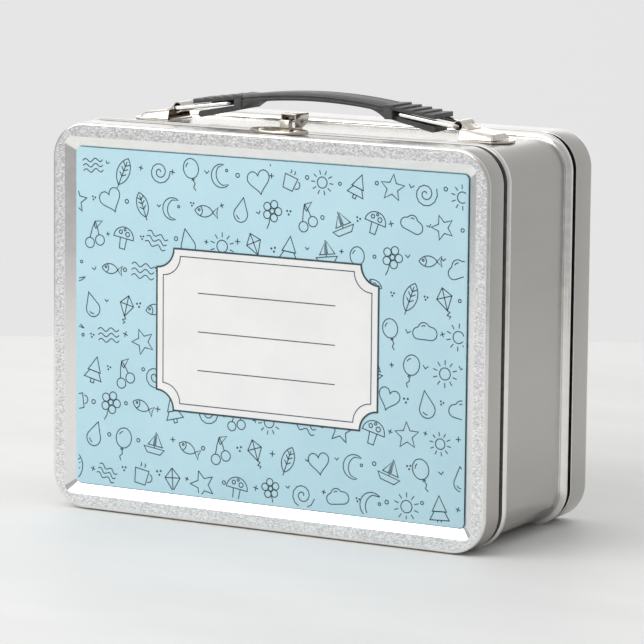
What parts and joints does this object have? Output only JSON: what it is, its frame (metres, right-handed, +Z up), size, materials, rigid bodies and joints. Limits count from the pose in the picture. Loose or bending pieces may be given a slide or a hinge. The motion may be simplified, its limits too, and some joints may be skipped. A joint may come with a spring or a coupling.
{
  "type": "metal lunch box",
  "caption": "Metal lunch box with a hinged front lid, recessed printed panel, beaded body band, snap catch and lift-up carrying grip on wire links.",
  "frame": {"origin": "middle of the standing face, under the beads", "axes": "+X along the width to the right, front lid towards -Y, +Z up"},
  "size_m": [0.201, 0.09, 0.1729],
  "materials": {
    "tinplate": "satin tinplate with a fine grain",
    "printed_sheet": "pale blue satin print with thin dark line motifs",
    "nickel_hardware": "bright warm nickel plating",
    "steel_wire": "bright drawn wire",
    "grip_plastic": "dark grey moulded plastic, fine satin"
  },
  "bodies": {
    "box": {"body_band": "tinplate", "back_pan": "tinplate", "hinge_band_loop_left_a": "tinplate", "hinge_band_loop_left_b": "tinplate", "hinge_band_loop_right_a": "tinplate", "hinge_band_loop_right_b": "tinplate", "latch_base": "nickel_hardware", "bracket_plate_left": "nickel_hardware", "bracket_plate_right": "nickel_hardware", "bracket_hood_left": "nickel_hardware", "bracket_hood_right": "nickel_hardware", "bracket_rivet_left_outer": "nickel_hardware", "bracket_rivet_left_inner": "nickel_hardware", "bracket_rivet_right_outer": "nickel_hardware", "bracket_rivet_right_inner": "nickel_hardware", "latch_base_rivet_left": "nickel_hardware", "latch_base_rivet_right": "nickel_hardware", "latch_pin": "steel_wire", "hinge_pin_left": "steel_wire", "hinge_pin_right": "steel_wire"},
    "front_lid": {"front_lid": "tinplate", "print_panel": "printed_sheet", "hinge_lid_loop_left": "tinplate", "hinge_lid_loop_right": "tinplate", "latch_striker": "nickel_hardware", "striker_rivet_left": "nickel_hardware", "striker_rivet_right": "nickel_hardware"},
    "latch_lever": {"latch_lever": "nickel_hardware"},
    "handle_grip": {"handle_grip": "grip_plastic"},
    "left_link": {"wire_link_left": "steel_wire"},
    "right_link": {"wire_link_right": "steel_wire"}
  },
  "joints": [
    {"name": "lid_hinge", "type": "hinge", "parent": "box", "child": "front_lid", "pos_m": [0, -0.03165, 0.00115], "axis": [1, 0, 0], "range_deg": [0, 135]},
    {"name": "latch_pivot", "type": "hinge", "parent": "box", "child": "latch_lever", "pos_m": [0.0015, -0.0244, 0.1635], "axis": [-1, 0, 0], "range_deg": [0, 55]},
    {"name": "grip_lift", "type": "slide", "parent": "box", "child": "handle_grip", "axis": [0, 0, 1], "range_m": [0, 0.008]},
    {"name": "left_link_pivot", "type": "hinge", "parent": "box", "child": "left_link", "pos_m": [-0.065, 0, 0.1633], "axis": [0, -1, 0], "range_deg": [0, 17.75]},
    {"name": "right_link_pivot", "type": "hinge", "parent": "box", "child": "right_link", "pos_m": [0.065, 0, 0.1633], "axis": [0, 1, 0], "range_deg": [0, 17.75]}
  ],
  "couplings": [
    {"joint": "left_link_pivot", "follows": "grip_lift", "rad_per_m": 38.72},
    {"joint": "right_link_pivot", "follows": "grip_lift", "rad_per_m": 38.72}
  ]
}
